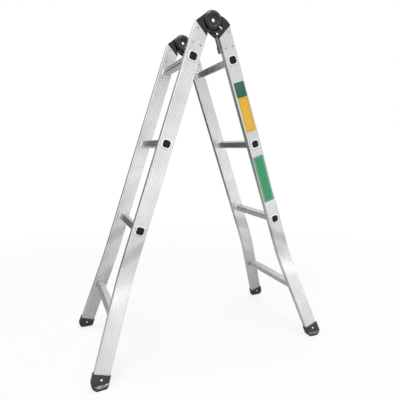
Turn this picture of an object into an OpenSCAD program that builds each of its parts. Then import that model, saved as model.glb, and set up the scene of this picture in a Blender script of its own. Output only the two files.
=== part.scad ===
// Folding trestle ladder: two aluminium ladder frames on a pair of locking hinges.
// Millimetres, +Z up, X along the rungs, front frame at -Y, rear frame at +Y, floor at Z = 0.
// Each piece is drawn on the right-hand rear leg standing upright, with the pivot axis on X,
// then tilted, and mirrored for the front frame and for the left-hand side.

/* [Ladder] */
// Distance between rungs, along the stile
rung_pitch = 300; // [260:5:320]
// Pivot axis to the first rung, along the stile
first_rung_drop = 136; // [132:1:160]
// Third rung to the middle of the bend
bend_gap = 171; // [150:1:185]
// Bottom brace to the foot rivet
foot_gap = 179; // [150:1:220]
// Width over the stiles at the hinges
top_width = 315; // [280:5:420]
// Lean of each frame when the trestle stands open
half_angle = 18.6; // [14:0.1:22]

/* [Stile] */
// Width of the stile's face
stile_w = 52; // [48:0.5:56]
// Depth of the stile, along the rungs
stile_d = 22; // [21:0.5:28]
// Wall of the box section
stile_wall = 1.8; // [1.4:0.1:2.2]
// Outer corner radius of the box section
stile_corner = 3; // [2:0.25:4]
// Pivot axis to the stile's middle line
stile_offset = 31.5; // [31:0.25:36]
// Flutes on each wide face
flute_count = 6; // [3:1:8]
// Width of a flute
flute_w = 2.6; // [1:0.1:3.4]
// Depth of a flute
flute_depth = 0.7; // [0.2:0.1:0.8]
// Slope of the mitred stile top
mitre_angle = 30; // [26:0.5:33]
// Pivot axis to the mitre, on the stile's middle line
mitre_drop = 42; // [41:0.5:46]
// Radius of the bend, on the middle line
bend_radius = 547; // [400:1:600]
// Flare of the lower leg
flare_angle = 12; // [8:0.5:14]

/* [Rungs] */
// Width of the square rung tube
rung_w = 25; // [22:0.5:28]
// Wall of the rung tube
rung_wall = 1.6; // [1.2:0.1:2]
// Outer corner radius of the rung tube
rung_corner = 4; // [3:0.25:5]
// Grip grooves on each side of a rung
groove_count = 3; // [1:1:4]
// Width of a grip groove
groove_w = 1.8; // [1:0.1:2.6]
// Depth of a grip groove
groove_depth = 0.5; // [0.2:0.1:0.7]
// Reach of the swaged lip beyond the tube
lip_reach = 3.6; // [2.5:0.1:4.5]
// Height of the swaged lip above the stile's face
lip_h = 1.8; // [1:0.1:2.2]
// Radius of the swaged bead inside the stile
bead_r = 2; // [1.2:0.1:2.6]
// Depth of the plug's face below the lip
plug_recess = 2.2; // [1:0.1:4]
// Thickness of the plug's face
plug_face = 2; // [1.2:0.1:3]
// Length of the plug, with its skirt
plug_len = 14; // [8:0.5:20]

/* [Brace] */
// Width of the bottom brace
brace_w = 26; // [22:0.5:28]
// Height of the bottom brace
brace_h = 25; // [20:0.5:30]
// Wall of the brace
brace_wall = 2; // [1.5:0.1:3]
// Width of each folded ear
ear_w = 9.5; // [8.5:0.25:10.5]

/* [Boots] */
// Wall of the boot round the stile
boot_wall = 2.7; // [2:0.1:3.2]
// Height of the boot's rim above the rivet
boot_rise = 14; // [12:0.5:20]
// Radius of the rocker sole about the rivet
sole_r = 32.5; // [32:0.5:36]
// Depth of the flat tread that meets the floor
sole_flat = 3.6; // [2:0.1:4.5]

/* [Hinge] */
// Radius of the black hinge discs
disc_r = 34; // [32:0.5:35]
// Thickness of the steel hinge plates
plate_t = 3; // [2.5:0.1:3.2]
// Radius of the notched rim of the front plates
rim_r = 26.8; // [26:0.1:27.5]
// Radius of the pivot pin
pin_r = 5; // [4:0.1:6]
// Height of the outer disc above the stile's face
dome_rise = 2.4; // [1.8:0.1:3]
// Height of the inner disc above the inner plate
cap_rise = 11; // [9:0.5:13]

/* [Lock] */
// Pivot axis to the lever pin, along the stile
lever_drop = 43.2; // [43:0.1:44]
// Swing of the lock lever, from released to locked
lever_swing = 7; // [5:0.1:7.2]
// Angle of the bolt's slide from the stile's line
bolt_angle = 34.5; // [33:0.5:36]
// Length of the bolt along its slide
bolt_len = 11.7; // [11:0.1:12]
// Thickness of the bolt
bolt_w = 4.2; // [3.6:0.1:4.6]
// Length of the lever's tail below the lever pin
tail_len = 61; // [50:1:66]

/* [Hidden] */
$fn = 64;
// Clearances: overrun of cuts, fixed fits, running fits and free gaps between moving pieces
over = 1;
fit = 0.1;
run_fit = 0.05;
slide_fit = 0.15;
free_gap = 0.3;
wide_gap = 0.6;

// Frame layout
half_top = top_width / 2;
stile_x = half_top - stile_d / 2;
stile_in = stile_offset - stile_w / 2;
stile_out = stile_offset + stile_w / 2;
rung_count = 3;
rung_drops = [for (i = [0 : rung_count - 1]) first_rung_drop + i * rung_pitch];
last_rung_drop = rung_drops[rung_count - 1];
brace_drop = last_rung_drop + rung_pitch;
bend_drop = last_rung_drop + bend_gap;
foot_drop = brace_drop + foot_gap;
bend_tangent = bend_radius * tan(flare_angle / 2);
bend_start = bend_drop - bend_tangent;
leg_foot = (foot_drop - bend_drop) / cos(flare_angle);
leg_brace = (brace_drop - bend_drop - stile_d / 2 * sin(flare_angle)) / cos(flare_angle);
stile_tail = 13;
leg_end = leg_foot + stile_tail;
pivot_z = sole_r - sole_flat + foot_drop * cos(half_angle) - stile_offset * sin(half_angle);

// Stile details
flute_pitch = (stile_w - 2 * stile_corner) / flute_count;
bore_corner = stile_corner / 2;
flute_land = 1;
flute_floor = 0.8;
join_step = 0.05;
rivet_r = 2.4;
rivet_head_r = 3.5;
rivet_head_h = 1.7;
upper_rivet_drop = 44.5;
upper_rivet_out = 12;
lower_rivet_drop = 92.5;
lower_rivet_out = 14;
hinge_rivets = [
    [upper_rivet_drop, stile_offset + upper_rivet_out],
    [lower_rivet_drop, stile_offset + lower_rivet_out],
    [lower_rivet_drop, stile_offset - lower_rivet_out]
];

// Rung details
groove_pitch = (rung_w - 2 * rung_corner) / groove_count;
plug_w = rung_w - 2 * rung_wall - 2 * fit;
plug_corner = rung_corner - rung_wall;
plug_wall = 1.6;
plug_pad_share = 0.55;
plug_pad_h = 0.6;

// Brace details
brace_corner = 2.5;
ear_t = 2;
ear_corner = 2;
brace_groove_pitch = (brace_w - 2 * brace_corner) / groove_count;
ear_mid = brace_w / 2 + ear_w / 2;
ear_rivet_share = 0.5;
ear_rivet_gap = brace_h * ear_rivet_share;
blind_len = 3;
brace_head_r = 4.4;
brace_head_h = 2.4;

// Boot details
boot_corner = stile_corner + boot_wall;
foot_x = stile_x + leg_foot * sin(flare_angle);
sole_bevel_w = 9;
sole_bevel_h = 6;
sole_x = foot_x + (sole_r - sole_flat) * cos(half_angle) * tan(flare_angle)
    - (stile_d / 2 + boot_wall) / cos(flare_angle);

// Hinge stack, as depths in from the stile's outer face
outer_plate_s = stile_wall + fit;
inner_plate_s = stile_d - outer_plate_s - plate_t;
outer_gap_s = outer_plate_s + plate_t;
tongue_s = stile_d / 2 - plate_t;
tongue_end_s = stile_d / 2 + plate_t;
inner_face_s = inner_plate_s + plate_t;
cap_s = inner_face_s + cap_rise;
panel_rise = 0.8;
block_inset = 0.3;

// Hinge plate outlines
plate_r = disc_r - 3;
lug_r = 7;
plate_lug_r = 5.5;
web_inset = 0.3;
arm_side_gap = 1;
arm_in = stile_in + stile_wall + arm_side_gap;
arm_out = stile_out - stile_wall - arm_side_gap;
arm_end = 108;
shoulder_drop = 30;
neck_drop = 38;
neck_out = 13;
joggle_start = 36;
joggle_end = 50;
step_drop = -6;
step_out = 35.2;
edge_bulge = 2.6;
edge_steps = 8;
washer_r = 14;
pin_head_r = 5.6;
pin_head_h = 2;
pin_recess_r = 6.4;
pin_seat_s = 0.4;

// Disc covers: a rounded rim, a ring recess and a dished centre
rim_round = 6.5;
ring_out_r = 19;
ring_in_r = 15.5;
dish_r = 9.5;
ring_depth = 2;
cap_round = 8;
cap_wall = 2.5;
hub_r = 9;
border_w = 1.6;
border_h = 0.7;
border_side = 15;
border_drop = 22;
border_out = 39;

// Lock: the lever turns about its pin and draws the bolt out of a notch
bolt_gap = 0.5;
bolt_in_r = rim_r + bolt_gap;
bolt_out_r = bolt_in_r + bolt_len;
journal_at = bolt_in_r + bolt_len / 2;
journal_r = 2.5;
journal = [journal_at * sin(bolt_angle), -journal_at * cos(bolt_angle)];
lever_at = [0, -lever_drop];
lever_arm = norm(journal - lever_at);
bolt_travel = lever_arm * sin(lever_swing);
notch_floor_r = bolt_in_r - bolt_travel - bolt_gap;
notch_gap = 0.4;
bolt_face_s = -1.2;
bolt_end_s = stile_d - 0.5;
lever_t = 1.6;
leg_out_s = outer_gap_s + wide_gap;
leg_in_s = stile_d - leg_out_s;
lever_pin_r = 2.5;
lever_pin_head_r = 3.6;
lever_pin_head_h = 1.4;
lever_boss_r = 5.2;
lever_arm_w = 7;
fork_r = 5.2;
fork_gap = 0.4;
tail_face = 4.3;
web_start = 50;
flange_end = 88;
tab_len = 24;
tab_w = stile_d - 2;
tab_corner = 4;
tail_end = lever_drop + tail_len;
core_wall = 3;
core_strip = 6;
core_start_drop = 8;
core_strip_out = 14;
spring_wire_r = 0.4;
spring_coil_r = 2.2;
spring_turns = 4;
spring_rings = 8;
spring_sides = 6;

// A point of a hinge drawing: u down the stile from the pivot axis, v outward
function at(u, v) = [v, -u];

// Height of the mitre below the pivot axis at a distance v from it
function mitre_u(v) = mitre_drop - (v - stile_offset) * tan(mitre_angle);

// The web that joins a disc on the pivot to a lug below it by their common tangent
function lug_web(big_r, small_r) =
    let (k = (big_r - small_r) / lever_drop, q = sqrt(1 - k * k), r = big_r - web_inset, t = small_r - web_inset)
    [at(0, 0), at(r * k, -r * q), at(lever_drop + t * k, -t * q), at(lever_drop, 0)];

// Touching point of the line from point p to a circle of radius r on the pivot
function tangent_from(p, r) =
    let (a = atan2(p[1], p[0]) + acos(r / norm(p)))
    [r * cos(a), r * sin(a)];

// The bulged outer edge of the rear panel, from its step beside the disc to the corner of the mitre
function panel_edge() =
    let (a = at(step_drop, step_out), b = at(mitre_u(stile_out), stile_out), d = (b - a) / norm(b - a))
    [for (i = [0 : edge_steps]) a + (b - a) * i / edge_steps
        + edge_bulge * sin(180 * i / edge_steps) * [-d[1], d[0]]];

// Placing
module front_half() {
    translate([0, 0, pivot_z]) mirror([0, 1, 0]) rotate([half_angle, 0, 0]) children();
}
module rear_half() {
    translate([0, 0, pivot_z]) rotate([half_angle, 0, 0]) children();
}
module left() {
    mirror([1, 0, 0]) children();
}
module both_sides() {
    children();
    left() children();
}
// The flared lower leg, with Z along the leg and its start at the middle of the bend
module leg() {
    translate([stile_x, stile_offset, -bend_drop]) rotate([0, -flare_angle, 0]) children();
}
// A hinge drawing made solid between two depths from the stile's outer face
module slab(s0, s1) {
    translate([half_top - s1, 0, 0]) rotate([90, 0, 90]) linear_extrude(s1 - s0) children();
}
// A profile of radius and height above the stile's outer face, turned about the pivot axis
module turned() {
    translate([half_top, 0, 0]) rotate([90, 0, 90]) rotate_extrude() children();
}
module rod(x0, x1, r) {
    translate([x0, 0, 0]) rotate([0, 90, 0]) cylinder(h = x1 - x0, r = r);
}

// Shared drawings
module rounded(w, h, r) {
    square([w - 2 * r, h], center = true);
    square([w, h - 2 * r], center = true);
    for (x = [-1, 1], y = [-1, 1]) translate([x * (w / 2 - r), y * (h / 2 - r)]) circle(r);
}
module strut(p, q, w) {
    translate(p) rotate(atan2(q[1] - p[1], q[0] - p[0])) translate([0, -w / 2]) square([norm(q - p), w]);
}
module radial_bar(r0, r1, w) {
    rotate(bolt_angle) translate([-w / 2, -r1]) square([w, r1 - r0]);
}
// All that lies below the mitred stile top
module below_mitre(gap) {
    low = stile_in - stile_w;
    high = stile_out + stile_w;
    polygon([at(mitre_u(low) - gap, low), at(mitre_u(high) - gap, high), at(arm_end, high), at(arm_end, low)]);
}
module dome(r, h) {
    ball = (r * r + h * h) / (2 * h);
    rotate_extrude() intersection() {
        translate([0, h - ball]) circle(ball);
        square([r, h]);
    }
}
// A solid rivet along X with a domed head at each end
module rivet(x0, x1, r, head_r, head_h) {
    rod(x0, x1, r);
    translate([x1, 0, 0]) rotate([0, 90, 0]) dome(head_r, head_h);
    translate([x0, 0, 0]) rotate([0, -90, 0]) dome(head_r, head_h);
}

// Stile: a fluted box section, straight, bent outward and straight again
module stile_section(step) {
    difference() {
        rounded(stile_d - 2 * step, stile_w - 2 * step, stile_corner - step);
        rounded(stile_d - 2 * stile_wall + 2 * step, stile_w - 2 * stile_wall + 2 * step, bore_corner);
    }
}
module stile_flutes() {
    reach = flute_w - flute_floor / 2;
    for (side = [-1, 1], i = [0 : flute_count - 1])
        translate([side * stile_d / 2, (i - (flute_count - 1) / 2) * flute_pitch])
            polygon([[-side * flute_depth, -flute_floor / 2], [-side * flute_depth, flute_floor / 2],
                [side * flute_depth, reach], [side * flute_depth, -reach]]);
}
module stile_upper(land) {
    translate([stile_x, stile_offset, land - bend_start]) linear_extrude(bend_start) children();
}
module stile_bend(land) {
    turn = land / bend_radius * 180 / PI;
    translate([stile_x + bend_radius, stile_offset, -bend_start])
        rotate([90, 0, 0]) rotate([0, 0, 180 + turn]) rotate_extrude(angle = flare_angle - 2 * turn)
            translate([bend_radius, 0]) mirror([1, 0]) children();
}
module stile_leg(land) {
    leg() translate([0, 0, -leg_end - over]) linear_extrude(leg_end - bend_tangent + over - land) children();
}
// The flutes leave a short land at both ends of the bend, and the leg enters the bend by a fine step
module stile() {
    color("silver") difference() {
        union() {
            stile_upper(0) stile_section(0);
            stile_bend(0) stile_section(0);
            stile_leg(-over) stile_section(join_step);
        }
        leg() translate([-stile_w, -stile_w, -leg_end - 2 * over]) cube([2 * stile_w, 2 * stile_w, 2 * over]);
        stile_upper(flute_land) stile_flutes();
        stile_bend(flute_land) stile_flutes();
        stile_leg(flute_land) stile_flutes();
        slab(-over, stile_d + over) difference() {
            polygon([at(-over, stile_in - over), at(-over, stile_out + over),
                at(mitre_u(stile_in - over), stile_out + over), at(mitre_u(stile_in - over), stile_in - over)]);
            below_mitre(0);
        }
        for (drop = rung_drops) slab(-over, stile_d + over) translate(at(drop, stile_offset))
            rounded(rung_w + 2 * fit, rung_w + 2 * fit, rung_corner + fit);
        for (p = hinge_rivets) slab(-over, stile_d + over) translate(at(p[0], p[1])) circle(rivet_r + fit);
        leg() for (side = [-1, 1], end = [-1, 1])
            translate([0, side * ear_mid, -leg_brace + end * ear_rivet_gap / 2])
                rod(-stile_d / 2 - over, -stile_d / 2 + stile_wall + over, rivet_r + fit);
        leg() translate([0, 0, -leg_foot]) rod(-stile_d, stile_d, rivet_r + fit);
    }
}

// Rung: a grooved square tube, swaged into both stiles
module lip_profile() {
    w = rung_w + 2 * (lip_reach - lip_h);
    translate([-w / 2, -over]) square([w, lip_h + over]);
    for (side = [-1, 1]) translate([side * w / 2, 0]) circle(lip_h);
}
module bead_profile() {
    translate([-rung_w / 2, 0]) square([rung_w, 2 * bead_r]);
    for (side = [-1, 1]) translate([side * rung_w / 2, bead_r]) circle(bead_r);
}
module rung_pads() {
    lip_w = rung_w + 2 * lip_reach;
    bead_w = rung_w + 2 * bead_r;
    translate([half_top, 0, 0]) rotate([0, 90, 0]) intersection() {
        linear_extrude(lip_h) rounded(lip_w, lip_w, rung_corner + lip_reach);
        rotate([90, 0, 0]) linear_extrude(lip_w, center = true) lip_profile();
        rotate([90, 0, 90]) linear_extrude(lip_w, center = true) lip_profile();
    }
    translate([half_top - stile_d, 0, 0]) rotate([0, -90, 0]) intersection() {
        linear_extrude(2 * bead_r) rounded(bead_w, bead_w, rung_corner + bead_r);
        rotate([90, 0, 0]) linear_extrude(bead_w, center = true) bead_profile();
        rotate([90, 0, 90]) linear_extrude(bead_w, center = true) bead_profile();
    }
}
module rung(drop) {
    bore_w = rung_w - 2 * rung_wall;
    color("gainsboro") translate([0, stile_offset, -drop]) difference() {
        union() {
            rotate([90, 0, 90]) linear_extrude(top_width, center = true) difference() {
                rounded(rung_w, rung_w, rung_corner);
                for (i = [0 : 3], j = [0 : groove_count - 1]) rotate(90 * i)
                    translate([rung_w / 2, (j - (groove_count - 1) / 2) * groove_pitch])
                        square([2 * groove_depth, groove_w], center = true);
            }
            both_sides() rung_pads();
        }
        rotate([90, 0, 90]) linear_extrude(top_width + 4 * lip_h, center = true) rounded(bore_w, bore_w, plug_corner);
    }
}
module rung_plug(drop) {
    face_x = half_top + lip_h - plug_recess;
    color([0.05, 0.05, 0.05]) translate([face_x, stile_offset, -drop]) rotate([90, 0, 90]) {
        translate([0, 0, -plug_face]) linear_extrude(plug_face) rounded(plug_w, plug_w, plug_corner);
        linear_extrude(plug_pad_h) rounded(plug_w * plug_pad_share, plug_w * plug_pad_share, plug_corner);
        translate([0, 0, -plug_len]) linear_extrude(plug_len) difference() {
            rounded(plug_w, plug_w, plug_corner);
            rounded(plug_w - 2 * plug_wall, plug_w - 2 * plug_wall, plug_corner - plug_wall / 2);
        }
    }
}
module rung_plugs() {
    both_sides() for (drop = rung_drops) rung_plug(drop);
}

// Brace: a channel between the flared legs, its side walls folded into riveted ears
module brace() {
    color("gainsboro") {
        difference() {
            translate([0, stile_offset, -brace_drop]) rotate([90, 0, 90])
                linear_extrude(2 * (half_top + stile_w), center = true) difference() {
                    rounded(brace_w, brace_h, brace_corner);
                    translate([0, -brace_wall]) square([brace_w - 2 * brace_wall, brace_h], center = true);
                    for (j = [0 : groove_count - 1])
                        translate([(j - (groove_count - 1) / 2) * brace_groove_pitch, brace_h / 2])
                            square([groove_w, 2 * groove_depth], center = true);
                }
            both_sides() leg() translate([-stile_d / 2 - fit, -stile_w, -leg_end])
                cube([2 * half_top, 2 * stile_w, leg_end + bend_drop]);
        }
        both_sides() leg() for (side = [-1, 1])
            translate([-stile_d / 2 - fit - ear_t, side * (ear_mid - brace_wall / 2), -leg_brace])
                rotate([90, 0, 90]) linear_extrude(ear_t) difference() {
                    rounded(ear_w + brace_wall, brace_h, ear_corner);
                    for (end = [-1, 1]) translate([side * brace_wall / 2, end * ear_rivet_gap / 2])
                        circle(rivet_r + fit);
                }
    }
}
module brace_rivets() {
    color("whitesmoke") both_sides() leg() for (side = [-1, 1], end = [-1, 1])
        translate([0, side * ear_mid, -leg_brace + end * ear_rivet_gap / 2]) {
            face = -stile_d / 2 - fit - ear_t;
            rivet(face, -stile_d / 2 + stile_wall + fit, rivet_r, brace_head_r, brace_head_h);
            rod(-stile_d / 2 + stile_wall + fit, -stile_d / 2 + stile_wall + blind_len, rivet_r);
        }
}

// Boot: a cup round the leg's end with a rocker sole and a flat tread
module boot() {
    outer_d = stile_d + 2 * boot_wall;
    outer_w = stile_w + 2 * boot_wall;
    color([0.08, 0.08, 0.08]) difference() {
        intersection() {
            leg() translate([0, 0, -leg_foot - 2 * sole_r]) linear_extrude(2 * sole_r + boot_rise)
                rounded(outer_d, outer_w, boot_corner);
            translate([foot_x, stile_offset, -foot_drop]) union() {
                rod(-stile_w, stile_w, sole_r);
                translate([-stile_w, -stile_w, 0]) cube([2 * stile_w, 2 * stile_w, 2 * stile_w]);
            }
        }
        leg() translate([0, 0, -leg_end - fit]) linear_extrude(stile_tail + boot_rise + stile_w)
            rounded(stile_d + 2 * fit, stile_w + 2 * fit, stile_corner + fit);
        leg() translate([0, 0, -leg_foot]) rod(-outer_d, outer_d, rivet_r + fit);
    }
}
// The floor, which trims the soles to their flat treads, and the bevel along each tread's inner edge
module floor_cut() {
    reach = 2 * foot_drop;
    translate([-reach, -reach, -reach]) cube([2 * reach, 2 * reach, reach]);
    both_sides() rotate([90, 0, 0]) linear_extrude(2 * reach, center = true) polygon([
        [sole_x - sole_bevel_w, 2 * sole_bevel_h], [sole_x + 2 * sole_bevel_w, -sole_bevel_h],
        [sole_x - sole_bevel_w, -sole_bevel_h]]);
}
module boot_rivets() {
    half = stile_d / 2 + boot_wall;
    color("whitesmoke") both_sides() leg() translate([0, 0, -leg_foot])
        rivet(-half, half, rivet_r, rivet_head_r, rivet_head_h);
}
module hinge_rivets_of_frame() {
    color("whitesmoke") both_sides() for (p = hinge_rivets) translate([half_top, p[1], -p[0]])
        rivet(-stile_d, 0, rivet_r, rivet_head_r, rivet_head_h);
}

// Rear hinge plates: a pair of flat steel cheeks with a lug for the lever pin
module rear_plate(s0, s1) {
    color("lightslategray") difference() {
        union() {
            slab(s0, s1) circle(plate_r);
            slab(s0, s1) polygon(lug_web(plate_r, plate_lug_r));
            slab(s0, s1) translate(lever_at) circle(plate_lug_r);
            slab(s0, s1) polygon([at(0, 0), at(shoulder_drop, arm_out), at(arm_end, arm_out), at(arm_end, arm_in),
                at(mitre_u(arm_in), arm_in), at(lever_drop, 0)]);
        }
        slab(s0 - over, s1 + over) {
            circle(pin_r + fit);
            translate(lever_at) circle(lever_pin_r + fit);
            radial_bar(bolt_in_r - bolt_travel - slide_fit, bolt_out_r + slide_fit, bolt_w + 2 * slide_fit);
            for (p = hinge_rivets) translate(at(p[0], p[1])) circle(rivet_r + fit);
        }
    }
}
module rear_outer_plate() {
    rear_plate(outer_plate_s, outer_gap_s);
}
module rear_inner_plate() {
    rear_plate(inner_plate_s, inner_face_s);
}

// Front hinge plates: a back-to-back tongue with lock notches, its arms joggled out to the stile's walls
// A plate's path in depth, from the tongue to the wall of the stile
module joggle(tongue, arm, grow) {
    t = plate_t + grow;
    translate([0, -stile_w, 0]) rotate([-90, 0, 0]) linear_extrude(3 * stile_w) polygon([
        [half_top - tongue + grow, -2 * disc_r], [half_top - tongue + grow, joggle_start],
        [half_top - arm + grow, joggle_end], [half_top - arm + grow, 2 * arm_end],
        [half_top - arm - t, 2 * arm_end], [half_top - arm - t, joggle_end],
        [half_top - tongue - t, joggle_start], [half_top - tongue - t, -2 * disc_r]
    ]);
}
module front_plate(tongue, arm) {
    color("lightslategray") difference() {
        union() {
            slab(tongue, tongue + plate_t) circle(rim_r);
            intersection() {
                slab(0, stile_d) polygon([at(0, 0), at(shoulder_drop, arm_out), at(arm_end, arm_out),
                    at(arm_end, arm_in), at(mitre_u(arm_in), arm_in), at(neck_drop, neck_out)]);
                joggle(tongue, arm, 0);
            }
        }
        slab(-over, stile_d + over) {
            circle(pin_r + run_fit);
            for (turn = [0, 2 * half_angle, 180]) rotate(-2 * bolt_angle - turn)
                radial_bar(notch_floor_r, 2 * rim_r, bolt_w + 2 * notch_gap);
            for (p = hinge_rivets) translate(at(p[0], p[1])) circle(rivet_r + fit);
        }
    }
}
module front_outer_plate() {
    front_plate(tongue_s, outer_plate_s);
}
module front_inner_plate() {
    front_plate(stile_d / 2, inner_plate_s);
}

// Front block: the black moulding between the mitre and the disc, with a relief for the rear lug
module front_block() {
    corner = at(mitre_u(stile_out), stile_out);
    touch = tangent_from(corner, disc_r - over);
    color([0.1, 0.1, 0.1]) difference() {
        union() {
            slab(block_inset, stile_d - block_inset) difference() {
                polygon([at(0, 0), corner, at(mitre_u(stile_in), stile_in), at(lever_drop, stile_in)]);
                circle(disc_r + wide_gap);
                mirror([1, 0]) polygon(lug_web(disc_r + wide_gap, lug_r + wide_gap));
                translate(lever_at) circle(lug_r + wide_gap);
            }
            slab(outer_gap_s + free_gap, inner_plate_s - free_gap) difference() {
                polygon([at(0, 0), touch, corner, at(neck_drop, neck_out + over)]);
                circle(rim_r + wide_gap);
                translate(lever_at) circle(lug_r + wide_gap);
            }
        }
        slab(-over, stile_d + over) below_mitre(free_gap);
        intersection() {
            slab(0, stile_d) front_pocket_shape();
            joggle(tongue_s, outer_plate_s, fit);
        }
        intersection() {
            slab(0, stile_d) front_pocket_shape();
            joggle(stile_d / 2, inner_plate_s, fit);
        }
    }
}
module front_pocket_shape() {
    circle(rim_r + fit);
    polygon([at(-fit, -fit), at(shoulder_drop - fit, arm_out + fit), at(arm_end, arm_out + fit),
        at(arm_end, arm_in - fit), at(mitre_u(arm_in), arm_in - fit), at(neck_drop, neck_out - 2 * fit)]);
}

// Rear core: a black spacer between the rear plates, which closes the cavity and seats the lock spring
module rear_core() {
    edge = [for (p = panel_edge()) if (-p[1] > core_start_drop) p];
    wall = at(core_wall, -core_wall);
    corner = [mitre_u(stile_out), stile_out];
    low = [mitre_u(core_strip_out), core_strip_out];
    color([0.1, 0.1, 0.1]) slab(outer_gap_s, inner_plate_s) difference() {
        union() {
            polygon(concat(edge, [for (i = [len(edge) - 1 : -1 : 0]) edge[i] + wall]));
            polygon([at(corner[0], corner[1]), at(low[0], low[1]),
                at(low[0] - core_strip * cos(mitre_angle), low[1] - core_strip * sin(mitre_angle)),
                at(corner[0] - core_strip * cos(mitre_angle), corner[1] - core_strip * sin(mitre_angle))]);
        }
        below_mitre(free_gap);
        for (p = hinge_rivets) translate(at(p[0], p[1])) circle(rivet_r + fit);
    }
}

// Covers: black discs that clamp the rear plates, with a panel that runs to the mitre
module cover_shape() {
    difference() {
        union() {
            circle(disc_r - rim_round);
            polygon(lug_web(disc_r - over, lug_r));
            translate(lever_at) circle(lug_r);
            polygon(concat([at(0, 0)], panel_edge(), [at(mitre_u(stile_in), stile_in), at(lever_drop, 0)]));
        }
        below_mitre(free_gap);
    }
}
module bolt_slot() {
    radial_bar(bolt_in_r - bolt_travel - free_gap, bolt_out_r + free_gap, bolt_w + 2 * free_gap);
}
module outer_cover() {
    color([0.12, 0.12, 0.12]) difference() {
        union() {
            slab(-panel_rise, outer_plate_s) cover_shape();
            turned() intersection() {
                union() {
                    translate([0, dome_rise - 2 * rim_round]) square([disc_r - rim_round, 2 * rim_round]);
                    translate([disc_r - rim_round, dome_rise - rim_round]) circle(rim_round);
                }
                translate([0, -outer_plate_s]) square([disc_r, outer_plate_s + dome_rise]);
            }
            slab(-panel_rise - border_h, 0) translate(at(border_drop, border_out)) rotate(mitre_angle) difference() {
                rounded(border_side, border_side, border_w);
                rounded(border_side - 2 * border_w, border_side - 2 * border_w, border_w / 2);
            }
        }
        turned() polygon([[0, dome_rise + over], [ring_out_r, dome_rise + over], [ring_out_r, dome_rise],
            [ring_in_r, dome_rise - ring_depth], [dish_r, dome_rise - ring_depth],
            [pin_recess_r, -pin_seat_s], [0, -pin_seat_s]]);
        slab(-2 * dome_rise, outer_plate_s + over) {
            circle(pin_r + fit);
            translate(lever_at) circle(lever_pin_r + fit);
            bolt_slot();
        }
    }
}
module inner_cover() {
    color([0.12, 0.12, 0.12]) difference() {
        union() {
            slab(inner_face_s, stile_d + panel_rise) cover_shape();
            turned() intersection() {
                union() {
                    translate([0, -cap_s]) square([disc_r - cap_round, cap_rise]);
                    translate([disc_r - cap_round, -cap_s + cap_round]) circle(cap_round);
                    translate([0, -cap_s + cap_round]) square([disc_r, cap_rise - cap_round]);
                }
                translate([0, -cap_s]) square([disc_r, cap_rise]);
            }
        }
        turned() polygon([[0, -cap_s - over], [ring_out_r, -cap_s - over], [ring_out_r, -cap_s],
            [ring_in_r, -cap_s + ring_depth], [dish_r, -cap_s + ring_depth],
            [pin_recess_r, -cap_s + 2 * ring_depth], [0, -cap_s + 2 * ring_depth]]);
        turned() translate([hub_r, ring_depth + cap_wall - cap_s])
            square([disc_r - cap_round - hub_r, cap_rise - ring_depth - cap_wall + over]);
        slab(inner_face_s - over, cap_s + over) circle(pin_r + fit);
        slab(inner_face_s - over, cap_s + over) translate(lever_at) circle(lever_pin_r + fit);
        slab(inner_face_s - over, bolt_end_s + free_gap) bolt_slot();
    }
}

// Pivot pin: a large rivet that clamps the covers and cheeks, and carries the tongue
module pivot_pin() {
    inner = half_top - cap_s + 2 * ring_depth;
    color("whitesmoke") {
        rod(inner, half_top - pin_seat_s, pin_r);
        translate([half_top - pin_seat_s, 0, 0]) rotate([0, 90, 0]) dome(pin_head_r, pin_head_h);
        translate([inner, 0, 0]) rotate([0, -90, 0]) dome(pin_head_r, pin_head_h);
    }
}
module thrust_washers() {
    color("ivory") {
        slab(outer_gap_s, tongue_s - free_gap) difference() {
            circle(washer_r);
            circle(pin_r + fit);
        }
        slab(tongue_end_s + free_gap, inner_plate_s) difference() {
            circle(washer_r);
            circle(pin_r + fit);
        }
    }
}

// Lock bolt: a steel bar that slides along a radius, with two turned necks for the lever's forks
module lock_bolt() {
    neck_out_s = leg_out_s - free_gap;
    neck_in_s = leg_out_s + lever_t + free_gap;
    color("white") {
        slab(bolt_face_s, neck_out_s) radial_bar(bolt_in_r, bolt_out_r, bolt_w);
        slab(neck_in_s, stile_d - neck_in_s) radial_bar(bolt_in_r, bolt_out_r, bolt_w);
        slab(stile_d - neck_out_s, bolt_end_s) radial_bar(bolt_in_r, bolt_out_r, bolt_w);
        slab(neck_out_s, stile_d - neck_out_s) intersection() {
            translate(journal) circle(journal_r);
            radial_bar(bolt_in_r, bolt_out_r, 2 * journal_r);
        }
    }
}

// Lock lever: a pressed channel with forked legs, a web along the stile and a finger tab
module lever_leg_shape() {
    away = journal + (journal - lever_at) * (2 * fork_r / lever_arm);
    difference() {
        union() {
            translate(lever_at) circle(lever_boss_r);
            translate(journal) circle(fork_r);
            strut(lever_at, journal, lever_arm_w);
            polygon([at(lever_drop, lever_boss_r), at(flange_end, lever_t - tail_face),
                at(flange_end, -tail_face), at(lever_drop, -tail_face)]);
        }
        translate(lever_at) circle(lever_pin_r + run_fit);
        translate(journal) circle(journal_r + fork_gap);
        strut(journal, away, 2 * (journal_r + fork_gap));
        strut(journal, lever_at + (journal - lever_at) * (1 - fork_gap / lever_arm), 2 * (journal_r + fork_gap));
    }
}
module lock_lever() {
    color("darkgray") {
        slab(leg_out_s, leg_out_s + lever_t) lever_leg_shape();
        slab(leg_in_s - lever_t, leg_in_s) lever_leg_shape();
        slab(leg_out_s, leg_in_s) polygon([at(web_start, -tail_face), at(web_start, lever_t - tail_face),
            at(tail_end - tab_corner, lever_t - tail_face), at(tail_end - tab_corner, -tail_face)]);
        translate([stile_x, lever_t - tail_face, -tail_end + tab_len / 2]) rotate([90, 0, 0])
            linear_extrude(lever_t) rounded(tab_w, tab_len, tab_corner);
    }
}
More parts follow.
